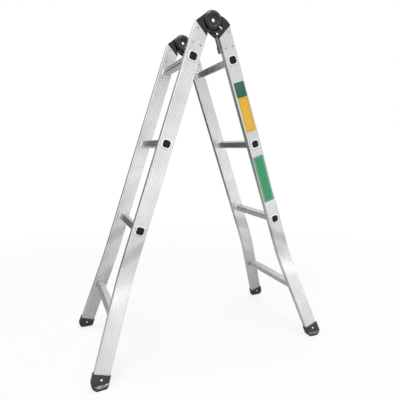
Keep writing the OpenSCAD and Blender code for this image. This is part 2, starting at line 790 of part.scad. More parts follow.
module lever_pin() {
    color("whitesmoke") translate([half_top, 0, -lever_drop])
        rivet(-stile_d - panel_rise, panel_rise, lever_pin_r, lever_pin_head_r, lever_pin_head_h);
}

// Lock spring: a short coil between the bolt and the core
spring_low_r = bolt_out_r + free_gap + spring_wire_r;
spring_high_r = (mitre_drop + stile_offset * tan(mitre_angle) - (free_gap + core_strip) / cos(mitre_angle))
    / (cos(bolt_angle) + sin(bolt_angle) * tan(mitre_angle)) - spring_wire_r - free_gap;
spring_pitch = (spring_high_r - spring_low_r) / spring_turns;
spring_steps = spring_turns * spring_rings;
function coil_at(i) =
    let (a = 360 * i / spring_rings)
    [spring_coil_r * cos(a), spring_coil_r * sin(a), spring_low_r + spring_pitch * i / spring_rings];
function coil_ring(i) =
    let (a = 360 * i / spring_rings, c = coil_at(i))
    [for (j = [0 : spring_sides - 1])
        let (b = 360 * j / spring_sides, r = spring_wire_r * cos(b))
        c + [r * cos(a), r * sin(a), spring_wire_r * sin(b)]];
spring_gap = min([for (i = [0 : spring_steps - spring_rings]) norm(coil_at(i) - coil_at(i + spring_rings))])
    - 2 * spring_wire_r;
echo(spring_gap = spring_gap);
module lock_spring() {
    n = spring_sides;
    last = spring_steps * n;
    color("silver") translate([stile_x, 0, 0]) rotate([180 + bolt_angle, 0, 0]) polyhedron(
        points = [for (i = [0 : spring_steps]) each coil_ring(i)],
        faces = [
            for (j = [1 : n - 2]) [0, j, j + 1],
            for (j = [1 : n - 2]) [last, last + j + 1, last + j],
            for (i = [0 : spring_steps - 1], j = [0 : n - 1]) [i * n + j, (i + 1) * n + j, i * n + (j + 1) % n],
            for (i = [0 : spring_steps - 1], j = [0 : n - 1])
                [(i + 1) * n + j, (i + 1) * n + (j + 1) % n, i * n + (j + 1) % n]
        ]);
}

front_half() stile();  // front_right_stile
front_half() left() stile();  // front_left_stile
rear_half() stile();  // rear_right_stile
rear_half() left() stile();  // rear_left_stile
front_half() rung(rung_drops[0]);  // front_upper_rung
front_half() rung(rung_drops[1]);  // front_middle_rung
front_half() rung(rung_drops[2]);  // front_lower_rung
rear_half() rung(rung_drops[0]);  // rear_upper_rung
rear_half() rung(rung_drops[1]);  // rear_middle_rung
rear_half() rung(rung_drops[2]);  // rear_lower_rung
front_half() rung_plugs();  // front_rung_plugs
rear_half() rung_plugs();  // rear_rung_plugs
front_half() brace();  // front_brace
rear_half() brace();  // rear_brace
front_half() brace_rivets();  // front_brace_rivets
rear_half() brace_rivets();  // rear_brace_rivets
difference() { front_half() boot(); floor_cut(); }  // front_right_boot
difference() { front_half() left() boot(); floor_cut(); }  // front_left_boot
difference() { rear_half() boot(); floor_cut(); }  // rear_right_boot
difference() { rear_half() left() boot(); floor_cut(); }  // rear_left_boot
front_half() boot_rivets();  // front_boot_rivets
rear_half() boot_rivets();  // rear_boot_rivets
front_half() hinge_rivets_of_frame();  // front_hinge_rivets
rear_half() hinge_rivets_of_frame();  // rear_hinge_rivets
front_half() front_outer_plate();  // right_front_outer_plate
front_half() left() front_outer_plate();  // left_front_outer_plate
front_half() front_inner_plate();  // right_front_inner_plate
front_half() left() front_inner_plate();  // left_front_inner_plate
rear_half() rear_outer_plate();  // right_rear_outer_plate
rear_half() left() rear_outer_plate();  // left_rear_outer_plate
rear_half() rear_inner_plate();  // right_rear_inner_plate
rear_half() left() rear_inner_plate();  // left_rear_inner_plate
front_half() front_block();  // right_front_block
front_half() left() front_block();  // left_front_block
rear_half() rear_core();  // right_rear_core
rear_half() left() rear_core();  // left_rear_core
rear_half() outer_cover();  // right_outer_cover
rear_half() left() outer_cover();  // left_outer_cover
rear_half() inner_cover();  // right_inner_cover
rear_half() left() inner_cover();  // left_inner_cover
rear_half() pivot_pin();  // right_pivot_pin
rear_half() left() pivot_pin();  // left_pivot_pin
rear_half() thrust_washers();  // right_thrust_washers
rear_half() left() thrust_washers();  // left_thrust_washers
rear_half() lock_bolt();  // right_lock_bolt
rear_half() left() lock_bolt();  // left_lock_bolt
rear_half() lock_lever();  // right_lock_lever
rear_half() left() lock_lever();  // left_lock_lever
rear_half() lever_pin();  // right_lever_pin
rear_half() left() lever_pin();  // left_lever_pin
rear_half() lock_spring();  // right_lock_spring
rear_half() left() lock_spring();  // left_lock_spring
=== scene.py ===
import math

import bpy
from mathutils import Matrix, Vector


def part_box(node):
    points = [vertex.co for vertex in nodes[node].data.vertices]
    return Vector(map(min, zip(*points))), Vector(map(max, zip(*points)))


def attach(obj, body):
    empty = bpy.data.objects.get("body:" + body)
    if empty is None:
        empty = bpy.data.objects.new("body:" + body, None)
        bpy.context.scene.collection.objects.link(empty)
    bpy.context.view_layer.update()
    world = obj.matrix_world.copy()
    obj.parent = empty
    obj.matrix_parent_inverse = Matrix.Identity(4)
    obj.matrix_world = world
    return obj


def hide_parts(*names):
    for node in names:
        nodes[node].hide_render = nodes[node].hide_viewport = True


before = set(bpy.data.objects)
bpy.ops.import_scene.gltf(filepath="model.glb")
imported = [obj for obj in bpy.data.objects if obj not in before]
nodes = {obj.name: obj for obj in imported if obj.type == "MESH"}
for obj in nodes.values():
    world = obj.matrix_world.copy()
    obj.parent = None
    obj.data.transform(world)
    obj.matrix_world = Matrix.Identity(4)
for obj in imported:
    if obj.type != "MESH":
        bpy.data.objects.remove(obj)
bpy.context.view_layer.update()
bpy.ops.object.select_all(action="DESELECT")

# Camera: it stands beside the right-hand stiles, a little above the middle of their height, and
# looks slightly down. The near hinge is high in the picture and the near front boot is low.
CAMERA_PLACE = (1.2921, -0.5324, 0.7570)
CAMERA_YAW = math.radians(66.93)
CAMERA_DOWN = math.radians(8.45)
CAMERA_ROLL = math.radians(0.12)
SENSOR_MM = 36.0
LENS_SHARE = 0.892
NEAREST = 0.01

bpy.ops.object.camera_add(location=CAMERA_PLACE)
camera = bpy.context.object
camera.name = "photo_camera"
camera.rotation_euler = (math.pi / 2 - CAMERA_DOWN, CAMERA_ROLL, CAMERA_YAW)
camera.data.sensor_width = SENSOR_MM
camera.data.lens = SENSOR_MM * LENS_SHARE
camera.data.clip_start = NEAREST
camera.data.dof.use_dof = False
scene = bpy.context.scene
scene.camera = camera
scene.view_settings.view_transform = "Standard"


# Stiles: four bent box extrusions of mill aluminium, fluted on their wide faces and streaked along
# their length by the die. Each bend has painted shade above it and a painted highlight below it.
# The flutes hold dirt and painted shade, and dirt and a painted shadow lie under the rungs' lips.
LEAN = math.radians(18.6)
PIVOT_HEIGHT = 1.17039
PIVOT_DROP = PIVOT_HEIGHT * math.cos(LEAN)
PIVOT_OUT = PIVOT_HEIGHT * math.sin(LEAN)
STILE_OFFSET = 0.0315
STILE_MIDDLE = PIVOT_OUT + STILE_OFFSET
SIDEWAYS = (1.0, 0.0, 0.0)
STILE_SILVER = (0.64, 0.645, 0.662)
STILE_BRIGHT = (0.775, 0.78, 0.80)
STILE_DULL = (0.50, 0.505, 0.515)
STILE_GRIME_AND_SHADE = (0.30, 0.30, 0.31)
STILE_ROUGH = 0.26
MILL_METAL = 0.85
MILL_SPECULAR = 0.4
# The metal's streaks and scuffs, as turns per metre across the extrusion and along it.
STREAKS = (900.0, 2.5)
FINE_STREAKS = (4200.0, 9.0)
SCUFFS = (160.0, 38.0)
PATCHES = 9.0
FINE_SHARE = 0.3
FINE_HEIGHT = 0.4
SCUFF_SHARE = 0.18
STREAK_ROUGH = 0.12
PATCH_ROUGH = 0.10
SCUFF_ROUGH = 0.10
STREAK_DEEP = 0.00006
STREAK_BUMP = 0.35
# The flutes, and how much dirt and painted shade they hold.
FLUTES = 6
FLUTED_WIDE = 0.046
FLUTE_PITCH = FLUTED_WIDE / FLUTES
OUTER_FLUTE = 2.9
FLUTE_DIRT_AND_SHADE = 0.10
FLUTE_STREAKS = 0.3
# The painted shade and highlight at each bend: the drop below the hinge, the half length, the
# colour and its share.
BEND_PAINTED_SHADE = (0.36, 0.36, 0.37)
BEND_PAINTED_HIGHLIGHT = (0.96, 0.96, 0.97)
BEND_PAINTED_LIGHT = ((0.815, 0.034, BEND_PAINTED_SHADE, 0.50), (0.948, 0.042, BEND_PAINTED_HIGHLIGHT, 0.34))
BEND_LIGHT_SLANT = 0.9
BEND_LIGHT_WANDER = 0.06
# The rungs' lips on the outer faces, and the dirt and painted shadow below them.
FIRST_RUNG = 0.136
RUNG_PITCH = 0.300
LAST_RUNG = FIRST_RUNG + 2 * RUNG_PITCH
LIP_HALF = 0.0161
LIP_CORNER = 0.0076
LIP_FLAT = LIP_HALF - LIP_CORNER
LIP_SHADOW_DROP = 0.0010
LIP_DIRT_AND_SHADOW = (0.0015, 0.0004)
LIP_DIRT_AND_SHADOW_SHARE = 0.8
OUTER_FACE = 0.150


class Val:
    """A node socket of one material. Operators add Math nodes, and node() adds any other node."""

    def __init__(self, tree, socket=None):
        self.tree = tree
        self.socket = socket

    def node(self, kind, settings=None, sockets=None, out=0):
        made = self.tree.nodes.new(kind)
        for key, value in (settings or {}).items():
            if key == "stops":
                while len(made.color_ramp.elements) < len(value):
                    made.color_ramp.elements.new(1.0)
                for stop, (place, grey) in zip(made.color_ramp.elements, value):
                    stop.position = place
                    stop.color = (grey, grey, grey, 1)
            else:
                setattr(made, key, value)
        for key, value in (sockets or {}).items():
            if isinstance(value, Val):
                self.tree.links.new(value.socket, made.inputs[key])
            else:
                made.inputs[key].default_value = value
        return Val(self.tree, made.outputs[out])

    def math(self, operation, a, b=0.0):
        return self.node("ShaderNodeMath", {"operation": operation}, {0: a, 1: b})

    def __add__(self, other):
        return self.math("ADD", self, other)

    __radd__ = __add__

    def __mul__(self, other):
        return self.math("MULTIPLY", self, other)

    __rmul__ = __mul__

    def __sub__(self, other):
        return self.math("SUBTRACT", self, other)

    def __rsub__(self, other):
        return self.math("SUBTRACT", other, self)

    def absolute(self):
        return self.math("ABSOLUTE", self)

    def root(self):
        return self.math("SQRT", self)

    def at_least(self, low):
        return self.math("MAXIMUM", self, low)

    def above(self, low):
        return self.math("GREATER_THAN", self, low)

    def below(self, high):
        return self.math("LESS_THAN", self, high)

    def between(self, low, high):
        return self.above(low) * self.below(high)

    def from_nearest(self, pitch):
        """Distance to the nearest multiple of the pitch."""
        return self.math("PINGPONG", self, pitch / 2)

    def clamp(self):
        return self.node("ShaderNodeClamp", None, {"Value": self})

    def rise(self, zero, one):
        """0 up to the first value, 1 from the second on, and an even slope between them."""
        return ((self - zero) * (1 / (one - zero))).clamp()

    def ramp(self, *stops):
        return self.node("ShaderNodeValToRGB", {"stops": stops}, {"Fac": self})

    def mixed(self, a, b):
        """Colour a where this value is 0, colour b where it is 1."""
        ends = {6: a if isinstance(a, Val) else (*a, 1), 7: b if isinstance(b, Val) else (*b, 1)}
        return self.node("ShaderNodeMix", {"data_type": "RGBA"}, {0: self, **ends}, out=2)

    def place(self):
        return self.node("ShaderNodeTexCoord", None, None, out=3)

    def along(self, direction):
        """Distance of a surface point along a direction, in metres."""
        settings = {"operation": "DOT_PRODUCT"}
        return self.node("ShaderNodeVectorMath", settings, {0: self.place(), 1: direction}, out=1)

    def axis_distance(self):
        """Distance of a surface point from the axis of the hinges, in metres."""
        shifted = self.node("ShaderNodeVectorMath", {"operation": "MULTIPLY_ADD"},
                            {0: self.place(), 1: (0.0, 1.0, 1.0), 2: (0.0, 0.0, -PIVOT_HEIGHT)})
        return self.node("ShaderNodeVectorMath", {"operation": "LENGTH"}, {0: shifted}, out=1)

    def noise(self, vector, scale, detail=4.0, rough=0.6):
        sockets = {"Vector": vector, "Scale": scale, "Detail": detail, "Roughness": rough}
        return self.node("ShaderNodeTexNoise", None, sockets)

    def cloud(self, scale, detail=4.0, rough=0.6):
        """Noise that is the same in all directions, in turns per metre."""
        return self.noise(self.place(), scale, detail, rough)

    def drawn(self, side, length, scales, detail, rough):
        """Noise drawn out along a piece, in turns per metre across it and along it."""
        vector = {"X": side * scales[0], "Y": length * scales[1], "Z": 0.0}
        return self.noise(self.node("ShaderNodeCombineXYZ", None, vector), 1.0, detail, rough)


class Finish:
    """One procedural material on a Principled shader."""

    def __init__(self, name, **constants):
        self.material = bpy.data.materials.new(name)
        self.material.use_nodes = True
        self.tree = self.material.node_tree
        self.shader = self.tree.nodes["Principled BSDF"]
        for key, value in constants.items():
            self.shader.inputs[key.replace("_", " ")].default_value = value
        self.start = Val(self.tree)

    def feed(self, socket, value):
        self.tree.links.new(value.socket, self.shader.inputs[socket])

    def bump(self, height, distance, strength):
        sockets = {"Strength": strength, "Distance": distance, "Height": height}
        self.feed("Normal", self.start.node("ShaderNodeBump", None, sockets))

    def on(self, *objects):
        for obj in objects:
            if not obj.material_slots:
                obj.data.materials.append(self.material)
            for slot in obj.material_slots:
                slot.material = self.material


def named(*parts):
    """The CAD nodes whose names end in one of these words."""
    return [obj for name, obj in nodes.items() if name.endswith(parts)]


def stile_marks(colour, side, length, streak, patch):
    """Dirt and painted shade in the flutes, painted shade and highlight at the bends, and dirt and
    a painted shadow under the rungs' lips.
    """
    across = side - STILE_MIDDLE
    drop = length + PIVOT_DROP
    turn = across * (1 / FLUTE_PITCH)
    # Darker in the flutes: dirt, and painted shade.
    in_flute = turn.from_nearest(1.0).ramp((0.30, 0.0), (0.42, 1.0))
    on_face = turn.absolute().below(OUTER_FLUTE)
    flute_dirt_and_shade = in_flute * on_face * (FLUTE_DIRT_AND_SHADE + FLUTE_STREAKS * streak)
    colour = flute_dirt_and_shade.clamp().mixed(colour, STILE_GRIME_AND_SHADE)
    # Painted shade above each bend and a painted highlight below it, slanted across the stile.
    wander = (patch - 0.5) * BEND_LIGHT_WANDER - across * BEND_LIGHT_SLANT
    for middle, reach, painted_colour, share in BEND_PAINTED_LIGHT:
        off = (drop - middle + wander) * (1 / reach)
        colour = ((1 - off * off).clamp() * share).mixed(colour, painted_colour)
    # Darker around each rung's lip and most below it: dirt, and a painted shadow.
    off_level = (drop - FIRST_RUNG - LIP_SHADOW_DROP).from_nearest(RUNG_PITCH)
    past_level = (off_level - LIP_FLAT).at_least(0.0)
    past_side = (across.absolute() - LIP_FLAT).at_least(0.0)
    round_lip = (past_level * past_level + past_side * past_side).root() - LIP_CORNER
    by_rung = drop.below(LAST_RUNG + RUNG_PITCH / 2)
    outside = side.along(SIDEWAYS).absolute().above(OUTER_FACE)
    lip_dirt_and_shadow = round_lip.rise(*LIP_DIRT_AND_SHADOW) * by_rung * outside * LIP_DIRT_AND_SHADOW_SHARE
    return lip_dirt_and_shadow.mixed(colour, STILE_GRIME_AND_SHADE)


def mill_aluminium(name, across, lengthwise, tones, rough, marks=None):
    """Extruded aluminium: streaks drawn out along one direction, dull patches and scuffs.
    The tones are plain, bright and dull. Marks, if given, adds its own to the colour."""
    plain, bright, dull = tones
    finish = Finish(name, Metallic=MILL_METAL, Specular_IOR_Level=MILL_SPECULAR)
    start = finish.start
    side = start.along(across)
    length = start.along(lengthwise)
    streak = start.drawn(side, length, STREAKS, detail=5.0, rough=0.6)
    fine = start.drawn(side, length, FINE_STREAKS, detail=2.0, rough=0.5)
    scratch = start.drawn(side, length, SCUFFS, detail=6.0, rough=0.7)
    scuff = scratch.ramp((0.60, 0.0), (0.78, 1.0))
    patch = start.cloud(PATCHES, detail=3.0, rough=0.55)
    tone = (streak * (1 - FINE_SHARE) + fine * FINE_SHARE).ramp((0.25, 0.0), (0.75, 1.0))
    colour = patch.ramp((0.42, 0.0), (0.72, 0.45)).mixed(tone.mixed(plain, bright), dull)
    if marks:
        colour = marks(colour, side, length, streak, patch)
    finish.colour = (scuff * SCUFF_SHARE).mixed(colour, dull)
    uneven = streak * STREAK_ROUGH + patch * PATCH_ROUGH + scuff * SCUFF_ROUGH
    finish.roughness = uneven + rough
    finish.feed("Base Color", finish.colour)
    finish.feed("Roughness", finish.roughness)
    finish.bump(streak * (1 - FINE_HEIGHT) + fine * FINE_HEIGHT, STREAK_DEEP, STREAK_BUMP)
    return finish


for frame_name, side in (("front", -1), ("rear", 1)):
    outward = (0.0, side * math.cos(LEAN), math.sin(LEAN))
    down = (0.0, side * math.sin(LEAN), -math.cos(LEAN))
    stile_tones = (STILE_SILVER, STILE_BRIGHT, STILE_DULL)
    stile_finish = mill_aluminium(frame_name + "_stile_aluminium", outward, down,
                                  stile_tones, STILE_ROUGH, stile_marks)
    stile_finish.on(nodes[frame_name + "_right_stile"], nodes[frame_name + "_left_stile"])

# Rungs: square aluminium tubes with grip grooves, passed through both stiles and swaged over.
# They are plainer metal than the stiles, and boots have rubbed grime into them in patches and
# scuffs. The swaging tool has left the lips outside the stiles and the beads inside them bright.
RUNG_SILVER = (0.60, 0.605, 0.605)
RUNG_BRIGHT = (0.74, 0.745, 0.75)
RUNG_GRIME = (0.30, 0.305, 0.29)
RUNG_ROUGH = 0.17
RUNG_ACROSS = (0.0, 0.8, 0.6)
SWAGED_BRIGHT = (0.94, 0.94, 0.945)
SWAGED_FROM = (0.1308, 0.1318)
SWAGED_SHARE = 0.9
SWAGED_SMOOTH = 0.08
rung_finish = mill_aluminium("rung_aluminium", RUNG_ACROSS, SIDEWAYS,
                             (RUNG_SILVER, RUNG_BRIGHT, RUNG_GRIME), RUNG_ROUGH)
swaged = rung_finish.start.along(SIDEWAYS).absolute().rise(*SWAGED_FROM)
rung_finish.feed("Base Color", (swaged * SWAGED_SHARE).mixed(rung_finish.colour, SWAGED_BRIGHT))
rung_finish.feed("Roughness", rung_finish.roughness - swaged * SWAGED_SMOOTH)
rung_finish.on(*named("_rung"))

# Rung plugs: black caps pressed into the open ends of the rungs. Each has a rounded flange on the
# swaged lip, a sunk face with a raised square in the middle, and a hollow stem in the rung's bore.
# They are injection moulded, so they have a fine even grain, and a faint film of dust and painted
# top light on their upward faces.
PLUG_BLACK = (0.003, 0.003, 0.003)
PLUG_DUST_AND_TOP_LIGHT = (0.020, 0.020, 0.019)
FLANGE_WIDE = 0.0256
FLANGE_CORNER = 0.0076
FLANGE_THICK = 0.0008
FLANGE_RIM = 0.0024
CORNER_STEPS = 6
FACE_SUNK = 0.0016
PAD_IN = 0.0042
PAD_RISE = 0.0008
STEM_IN = 0.0023
STEM_LONG = 0.012
STEM_WALL = 0.0016
PLUG_EDGE = 0.00025
EDGE_STEPS = 2
PLUG_SMOOTH = math.radians(35)
FACING = 0.9
# Dust and painted top light on moulded plastic: its clouds, its share, and how far up a face has to
# look to hold it.
DUST_AND_LIGHT_CLOUDS = 38.0
DUST_AND_LIGHT_SHARE = 0.9
DUST_AND_LIGHT_FACING = (-0.0545, 0.4)
DUST_ROUGH = 0.10
GRAIN_ROUGH = 0.12
GRAIN_DEEP = 0.0000125


def moulded_black(name, black, dust_and_top_light, rough, grain, sheen, crown=None):
    """Moulded black plastic: fine grain, and dust with painted top light that makes upward faces
    paler.
    A crown, if given, rounds the faces between two distances from the hinge's axis, and falls by
    its third value."""
    finish = Finish(name, Specular_IOR_Level=sheen)
    start = finish.start
    speck = start.cloud(grain, detail=3.0)
    facing = start.node("ShaderNodeNewGeometry", None, None, out=1)
    upward = start.node("ShaderNodeSeparateXYZ", None, {0: facing}, out=2)
    # Upward faces are painted paler: dust, and painted light from above.
    dust_and_top_lit = upward.rise(*DUST_AND_LIGHT_FACING) * start.cloud(DUST_AND_LIGHT_CLOUDS).ramp((0.30, 0.55), (0.70, 1.0))
    dusty = (dust_and_top_lit * DUST_AND_LIGHT_SHARE + speck * (1 - DUST_AND_LIGHT_SHARE)).clamp()
    finish.feed("Base Color", dusty.mixed(black, dust_and_top_light))
    finish.feed("Roughness", speck * GRAIN_ROUGH + dust_and_top_lit * DUST_ROUGH + rough)
    height = speck * GRAIN_DEEP
    if crown:
        inner, outer, fall = crown
        share = start.axis_distance().rise(inner, outer)
        height = height - share * share * fall
    finish.bump(height, 1.0, 1.0)
    return finish


def select_faces(mesh, wanted):
    """In edit mode, leave only the wanted faces selected."""
    bpy.ops.mesh.select_all(action="DESELECT")
    bpy.ops.object.mode_set(mode="OBJECT")
    for face in mesh.polygons:
        face.select = wanted(face)
    bpy.ops.object.mode_set(mode="EDIT")


def pull(height):
    """Extrude the selected faces along Z."""
    bpy.ops.mesh.extrude_region_move(TRANSFORM_OT_translate={"value": (0, 0, height)})


def thick_rounded(corner, steps, thick):
    """In edit mode, round the corners of a new plane and give it a thickness."""
    bpy.ops.mesh.select_all(action="SELECT")
    bpy.ops.mesh.bevel(offset=corner, segments=steps, affect="VERTICES")
    bpy.ops.mesh.select_all(action="SELECT")
    pull(thick)
    bpy.ops.mesh.select_all(action="SELECT")
    bpy.ops.mesh.normals_make_consistent(inside=False)


bpy.ops.object.select_all(action="DESELECT")
bpy.ops.mesh.primitive_plane_add(size=FLANGE_WIDE)
plug_model = bpy.context.object
bpy.ops.object.mode_set(mode="EDIT")
bpy.ops.mesh.select_mode(type="FACE")
thick_rounded(FLANGE_CORNER, CORNER_STEPS, FLANGE_THICK)
select_faces(plug_model.data, lambda face: face.normal.z > FACING)
bpy.ops.mesh.inset(thickness=FLANGE_RIM)
pull(-FACE_SUNK)
bpy.ops.mesh.inset(thickness=PAD_IN)
pull(PAD_RISE)
select_faces(plug_model.data, lambda face: face.normal.z < -FACING)
bpy.ops.mesh.inset(thickness=STEM_IN)
pull(-STEM_LONG)
bpy.ops.mesh.inset(thickness=STEM_WALL)
pull(STEM_LONG - 2 * FACE_SUNK)
bpy.ops.object.mode_set(mode="OBJECT")
edges = plug_model.modifiers.new("edges", "BEVEL")
edges.width = PLUG_EDGE
edges.segments = EDGE_STEPS
edges.limit_method = "ANGLE"
bpy.ops.object.modifier_apply(modifier="edges")
bpy.ops.object.shade_smooth_by_angle(angle=PLUG_SMOOTH)
plug_finish = moulded_black("plug_plastic", PLUG_BLACK, PLUG_DUST_AND_TOP_LIGHT, rough=0.34, grain=1400.0,
                            sheen=0.25)

for frame_name, side in (("front", -1), ("rear", 1)):
    up = Vector((0.0, -side * math.sin(LEAN), math.cos(LEAN)))
    copies = []
    for level in ("upper", "middle", "lower"):
        low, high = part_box(f"{frame_name}_{level}_rung")
        for end, face_x in ((1, high[0]), (-1, low[0])):
            outward = Vector((end, 0.0, 0.0))
            turn = Matrix((up.cross(outward), up, outward)).transposed().to_4x4()
            copy = plug_model.copy()
            copy.data = plug_model.data.copy()
            scene.collection.objects.link(copy)
            place = (face_x, (low[1] + high[1]) / 2, (low[2] + high[2]) / 2)
            copy.data.transform(Matrix.Translation(place) @ turn)
            copies.append(copy)
    bpy.ops.object.select_all(action="DESELECT")
    for copy in copies:
        copy.select_set(True)
    bpy.context.view_layer.objects.active = copies[0]
    bpy.ops.object.join()
    plugs = bpy.context.object
    plugs.name = frame_name + "_plugs"
    plug_finish.on(plugs)
    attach(plugs, frame_name + "_frame")
    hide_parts(frame_name + "_rung_plugs")
bpy.data.objects.remove(plug_model)
plug_finish.on(*named("_rung_plugs"))

# Bottom braces: aluminium channels between the flared legs, grooved on top like the rungs.
# Their side walls are folded into ears that lie on the legs.
BRACE_SILVER = (0.62, 0.625, 0.63)
BRACE_BRIGHT = (0.76, 0.765, 0.77)
BRACE_GRIME = (0.32, 0.325, 0.32)
BRACE_ROUGH = 0.30
brace_finish = mill_aluminium("brace_aluminium", RUNG_ACROSS, SIDEWAYS,
                              (BRACE_SILVER, BRACE_BRIGHT, BRACE_GRIME), BRACE_ROUGH)
brace_finish.on(*named("_brace"))

# Rivets: domed aluminium rivets that hold the ears of the braces and the hinge plates.
# They are duller than the extrusions, with tiny pits from the tool.
RIVET_BRIGHT = (0.42, 0.42, 0.43)
RIVET_WORN = (0.26, 0.26, 0.265)
RIVET_METAL = 0.9
RIVET_ROUGH = 0.34
RIVET_PITS = 900.0
PIT_ROUGH = 0.25
PIT_DEEP = 0.00005
PIT_BUMP = 0.3
rivet_finish = Finish("rivet_aluminium", Metallic=RIVET_METAL)
pits = rivet_finish.start.cloud(RIVET_PITS)
worn = pits.ramp((0.40, 0.0), (0.70, 1.0))
rivet_finish.feed("Base Color", worn.mixed(RIVET_BRIGHT, RIVET_WORN))
rivet_finish.feed("Roughness", pits * PIT_ROUGH + RIVET_ROUGH)
rivet_finish.bump(pits, PIT_DEEP, PIT_BUMP)
rivet_finish.on(*named("_hinge_rivets", "_brace_rivets"))

# Boots: black rubber cups on the ends of the legs, with a rocker sole and a flat tread.
# The walls are satin. A crescent above the sole's edge is scuffed pale and full of dry dust.
# Each boot is held by one bright rivet.
BOOT_BLACK = (0.016, 0.016, 0.017)
BOOT_GREY = (0.060, 0.059, 0.060)
BOOT_DUST = (0.62, 0.60, 0.56)
BOOT_GRAIN = 1100.0
BOOT_CLOUDS = 60.0
BOOT_ROUGH = 0.45
BOOT_SPECULAR = 0.4
BOOT_GRAIN_ROUGH = 0.15
BOOT_DUST_ROUGH = 0.2
BOOT_GRAIN_DEEP = 0.0001
BOOT_BUMP = 0.4
BOOT_MIDDLE = 0.4174
BOOT_WALL = (0.214, 0.2173)
DUST_TOP = (0.0175, 0.0150)
SOLE_EDGE = (0.0055, 0.0075)
SOLE_CURVE = 14.0
REAR_DUST = 0.35
boot_finish = Finish("boot_rubber", Specular_IOR_Level=BOOT_SPECULAR)
start = boot_finish.start
height = start.along((0.0, 0.0, 1.0))
rearward = start.along((0.0, 1.0, 0.0))
off_middle = rearward.absolute() - BOOT_MIDDLE
grain = start.cloud(BOOT_GRAIN, detail=3.0)
cloud = start.cloud(BOOT_CLOUDS, detail=5.0, rough=0.65)
rubbed = cloud.ramp((0.30, 0.0), (0.75, 1.0)).mixed(BOOT_BLACK, BOOT_GREY)
above_sole = height - off_middle * off_middle * SOLE_CURVE
crescent = height.rise(*DUST_TOP) * above_sole.rise(*SOLE_EDGE)
outer_wall = start.along(SIDEWAYS).absolute().rise(*BOOT_WALL)
front_more = REAR_DUST + (1 - REAR_DUST) * rearward.below(0.0)
dusty = crescent * outer_wall * front_more * cloud.ramp((0.36, 0.10), (0.58, 0.85))
boot_finish.feed("Base Color", dusty.mixed(rubbed, BOOT_DUST))
uneven = grain * BOOT_GRAIN_ROUGH + dusty * BOOT_DUST_ROUGH
boot_finish.feed("Roughness", uneven + BOOT_ROUGH)
boot_finish.bump(grain, BOOT_GRAIN_DEEP, BOOT_BUMP)
boot_finish.on(*named("_boot"))
BOOT_RIVET = (0.93, 0.93, 0.935)
BOOT_RIVET_WORN = (0.80, 0.80, 0.805)
BOOT_RIVET_METAL = 0.6
BOOT_RIVET_ROUGH = 0.30
BOOT_PIT_ROUGH = 0.2
bright_finish = Finish("boot_rivet_aluminium", Metallic=BOOT_RIVET_METAL)
pits = bright_finish.start.cloud(RIVET_PITS)
bright_finish.feed("Base Color", pits.mixed(BOOT_RIVET, BOOT_RIVET_WORN))
bright_finish.feed("Roughness", pits * BOOT_PIT_ROUGH + BOOT_RIVET_ROUGH)
bright_finish.on(*named("_boot_rivets"))

# Hinge plates: pressed steel cheeks and notched tongues, zinc plated, riveted inside the stiles.
# Only their rims show, between the covers.
ZINC_GREY = (0.46, 0.465, 0.47)
ZINC_PALE = (0.62, 0.625, 0.63)
ZINC_SPANGLES = 420.0
ZINC_CLOUDS = 160.0
ZINC_METAL = 0.9
SPANGLE_SHARE = 0.5
CLOUD_ROUGH = 0.2


def zinc_plate(name, rough, grey_tone=ZINC_GREY, pale_tone=ZINC_PALE):
    """Zinc plate: small spangles and soft clouds between two tones."""
    finish = Finish(name, Metallic=ZINC_METAL)
    start = finish.start
    cells = {"Vector": start.place(), "Scale": ZINC_SPANGLES}
    spangle = start.node("ShaderNodeTexVoronoi", None, cells, out=1)
    cloud = start.cloud(ZINC_CLOUDS)
    grey = start.node("ShaderNodeSeparateColor", None, {0: spangle})
    pale = grey * SPANGLE_SHARE + cloud * (1 - SPANGLE_SHARE)
    finish.colour = pale.mixed(grey_tone, pale_tone)
    finish.feed("Base Color", finish.colour)
    finish.feed("Roughness", cloud * CLOUD_ROUGH + rough)
    finish.bump(cloud, PIT_DEEP, PIT_BUMP)
    return finish


zinc_plate("plate_steel", rough=0.28).on(*named("_plate"))

# Hinge mouldings: black covers that clamp the rear plates, the front blocks over the tongues,
# and the cores between the cheeks. They are of satin glass-filled plastic, with dust and painted
# top light on the upward faces, and the covers' discs are crowned at the rim.
HINGE_BLACK = (0.004, 0.004, 0.004)
HINGE_DUST_AND_TOP_LIGHT = (0.105, 0.105, 0.115)
DISC_CROWN = (0.022, 0.034, 0.009)
hinge_finish = moulded_black("hinge_plastic", HINGE_BLACK, HINGE_DUST_AND_TOP_LIGHT, rough=0.15, grain=1200.0,
                             sheen=0.42, crown=DISC_CROWN)
hinge_finish.on(*named("_block", "_cover", "_core"))

# Pins and washers: peened steel pivot pins and lever pins, and pale nylon washers on the tongues.
# Old grease has darkened the edges of the pivot pins' heads.
PIN_GREY = (0.74, 0.74, 0.745)
PIN_PALE = (0.90, 0.90, 0.905)
GREASE = (0.05, 0.05, 0.05)
GREASE_FROM = (0.005, 0.00643)
GREASE_TO = (0.018, 0.0175)
pin_finish = zinc_plate("pin_steel", rough=0.20, grey_tone=PIN_GREY, pale_tone=PIN_PALE)
from_axis = pin_finish.start.axis_distance()
greasy = from_axis.rise(*GREASE_FROM) * from_axis.rise(*GREASE_TO)
pin_finish.feed("Base Color", greasy.mixed(pin_finish.colour, GREASE))
pin_finish.on(*named("_pivot_pin", "_lever_pin"))
NYLON = (0.62, 0.60, 0.53)
NYLON_DIRTY = (0.40, 0.38, 0.33)
NYLON_SMEARS = 220.0
NYLON_ROUGH = 0.4
SMEAR_ROUGH = 0.2
washer_finish = Finish("washer_plastic")
smear = washer_finish.start.cloud(NYLON_SMEARS)
washer_finish.feed("Base Color", smear.mixed(NYLON, NYLON_DIRTY))
washer_finish.feed("Roughness", smear * SMEAR_ROUGH + NYLON_ROUGH)
washer_finish.on(*named("_washers"))

